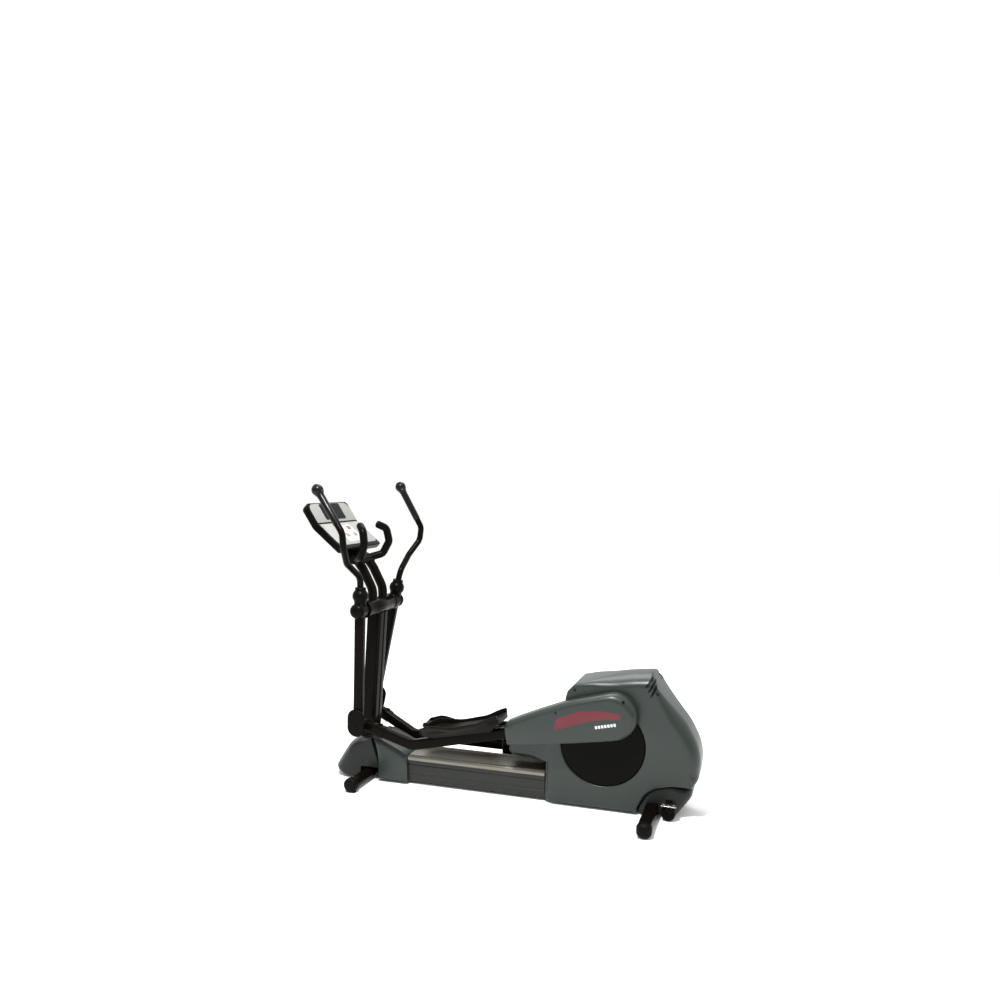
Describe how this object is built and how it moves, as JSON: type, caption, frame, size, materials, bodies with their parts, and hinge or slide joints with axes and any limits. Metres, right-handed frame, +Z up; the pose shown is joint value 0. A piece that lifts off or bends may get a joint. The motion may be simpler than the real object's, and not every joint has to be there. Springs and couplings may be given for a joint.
{
  "type": "elliptical trainer",
  "caption": "Rear-drive elliptical trainer: rocking handlebar arms linked to pedal levers, crank housing behind, console mast in front, floor bars and transport wheels.",
  "frame": {"origin": "on the floor under the middle of the whole machine's bounding box, at rest", "axes": "+X towards the rear, where the crank housing is; -X towards the console, the way the user faces; +Z up; the user's left side is -Y and their right side is +Y"},
  "size_m": [2.0201, 0.768, 1.5796],
  "materials": {
    "housing_grey": "fine moulded grain",
    "nose_grey": "fine moulded grain",
    "spine_grey": "satin powder coat",
    "frame_black": "satin powder coat",
    "trim_black": "fine moulded grain",
    "pedal_black": "ribbed",
    "rubber_black": "matt",
    "foam_black": "soft foam skin",
    "beam_silver": "brushed and lacquered",
    "console_silver": "satin",
    "window_black": "polished",
    "key_white": "satin",
    "key_green": "satin",
    "key_red": "satin",
    "key_grey": "satin",
    "bracket_steel": "zinc plated",
    "axle_steel": "turned",
    "iron": "machined",
    "pulley_silver": "turned"
  },
  "bodies": {
    "frame": {"beam_top": "beam_silver", "beam_body": "spine_grey", "front_stabiliser": "frame_black", "front_foot_left": "rubber_black", "front_foot_right": "rubber_black", "rear_stabiliser": "frame_black", "rear_foot_left": "rubber_black", "rear_foot_right": "rubber_black", "wheel_brackets": "bracket_steel", "nose_cover": "nose_grey", "collar_cover": "housing_grey", "mast": "frame_black", "mast_head": "frame_black", "pivot_axle": "axle_steel", "console_tube_left": "frame_black", "console_tube_right": "frame_black", "console_bracket": "trim_black", "sensor_bar_left": "trim_black", "sensor_bar_right": "trim_black", "console_base": "trim_black", "console_face": "console_silver", "display_window": "window_black", "key_panel": "key_white", "housing_left": "housing_grey", "housing_right": "housing_grey", "housing_hood": "housing_grey", "rear_skirt": "trim_black", "housing_screws": "frame_black", "drive_frame": "frame_black", "drive_belt": "rubber_black"},
    "left_arm": {"arm_left": "frame_black", "pivot_cap_left": "trim_black", "socket_left": "trim_black", "handlebar_left": "frame_black", "grip_left": "foam_black", "joint_cover_left": "trim_black"},
    "right_arm": {"arm_right": "frame_black", "pivot_cap_right": "trim_black", "socket_right": "trim_black", "handlebar_right": "frame_black", "grip_right": "foam_black", "joint_cover_right": "trim_black"},
    "left_lever": {"lever_left": "frame_black", "lever_cover_left": "housing_grey", "pedal_left": "pedal_black"},
    "right_lever": {"lever_right": "frame_black", "lever_cover_right": "housing_grey", "pedal_right": "pedal_black"},
    "crank": {"crank_axle": "axle_steel", "drive_pulley": "pulley_silver", "crank_disc_left": "trim_black", "crank_disc_right": "trim_black"},
    "flywheel": {"flywheel": "iron"},
    "left_wheel": {"wheel_left": "rubber_black"},
    "right_wheel": {"wheel_right": "rubber_black"},
    "start_key": {"key_start": "key_green"},
    "stop_key": {"key_stop": "key_red"},
    "up_key": {"key_up": "key_grey"},
    "down_key": {"key_down": "key_grey"}
  },
  "joints": [
    {"name": "left_rocker_swing", "type": "hinge", "parent": "frame", "child": "left_arm", "pos_m": [-0.698, 0, 0.94], "axis": [0, 1, 0], "range_deg": [-9, 20]},
    {"name": "right_rocker_swing", "type": "hinge", "parent": "frame", "child": "right_arm", "pos_m": [-0.698, 0, 0.94], "axis": [0, 1, 0], "range_deg": [-20, 9]},
    {"name": "left_lever_pivot", "type": "hinge", "parent": "left_arm", "child": "left_lever", "pos_m": [-0.73563, 0, 0.33016], "axis": [0, 1, 0], "range_deg": [-18, 8.1]},
    {"name": "right_lever_pivot", "type": "hinge", "parent": "right_arm", "child": "right_lever", "pos_m": [-0.84227, 0, 0.34628], "axis": [0, 1, 0], "range_deg": [-8.1, 18]},
    {"name": "crank_turn", "type": "hinge", "parent": "frame", "child": "crank", "pos_m": [0.545, 0, 0.335], "axis": [0, 1, 0], "continuous": true},
    {"name": "flywheel_turn", "type": "hinge", "parent": "frame", "child": "flywheel", "pos_m": [0.8, 0, 0.372], "axis": [0, 1, 0], "continuous": true},
    {"name": "left_wheel_turn", "type": "hinge", "parent": "frame", "child": "left_wheel", "pos_m": [0.873, -0.133, 0.037], "axis": [0, 1, 0], "continuous": true},
    {"name": "right_wheel_turn", "type": "hinge", "parent": "frame", "child": "right_wheel", "pos_m": [0.873, 0.133, 0.037], "axis": [0, 1, 0], "continuous": true},
    {"name": "start_key_press", "type": "slide", "parent": "frame", "child": "start_key", "axis": [-0.6486, 0, -0.7611], "range_m": [0, 0.0012], "stiffness_N_per_m": 400, "springref_m": -0.001},
    {"name": "stop_key_press", "type": "slide", "parent": "frame", "child": "stop_key", "axis": [-0.6486, 0, -0.7611], "range_m": [0, 0.0012], "stiffness_N_per_m": 400, "springref_m": -0.001},
    {"name": "up_key_press", "type": "slide", "parent": "frame", "child": "up_key", "axis": [-0.6486, 0, -0.7611], "range_m": [0, 0.0012], "stiffness_N_per_m": 400, "springref_m": -0.001},
    {"name": "down_key_press", "type": "slide", "parent": "frame", "child": "down_key", "axis": [-0.6486, 0, -0.7611], "range_m": [0, 0.0012], "stiffness_N_per_m": 400, "springref_m": -0.001}
  ],
  "couplings": [
    {"joint": "right_rocker_swing", "follows": "left_rocker_swing", "ratio": -1},
    {"joint": "left_lever_pivot", "follows": "left_rocker_swing", "ratio": -0.9},
    {"joint": "right_lever_pivot", "follows": "left_rocker_swing", "ratio": 0.9},
    {"joint": "crank_turn", "follows": "left_rocker_swing", "ratio": -3.75},
    {"joint": "flywheel_turn", "follows": "left_rocker_swing", "ratio": -22.5}
  ]
}
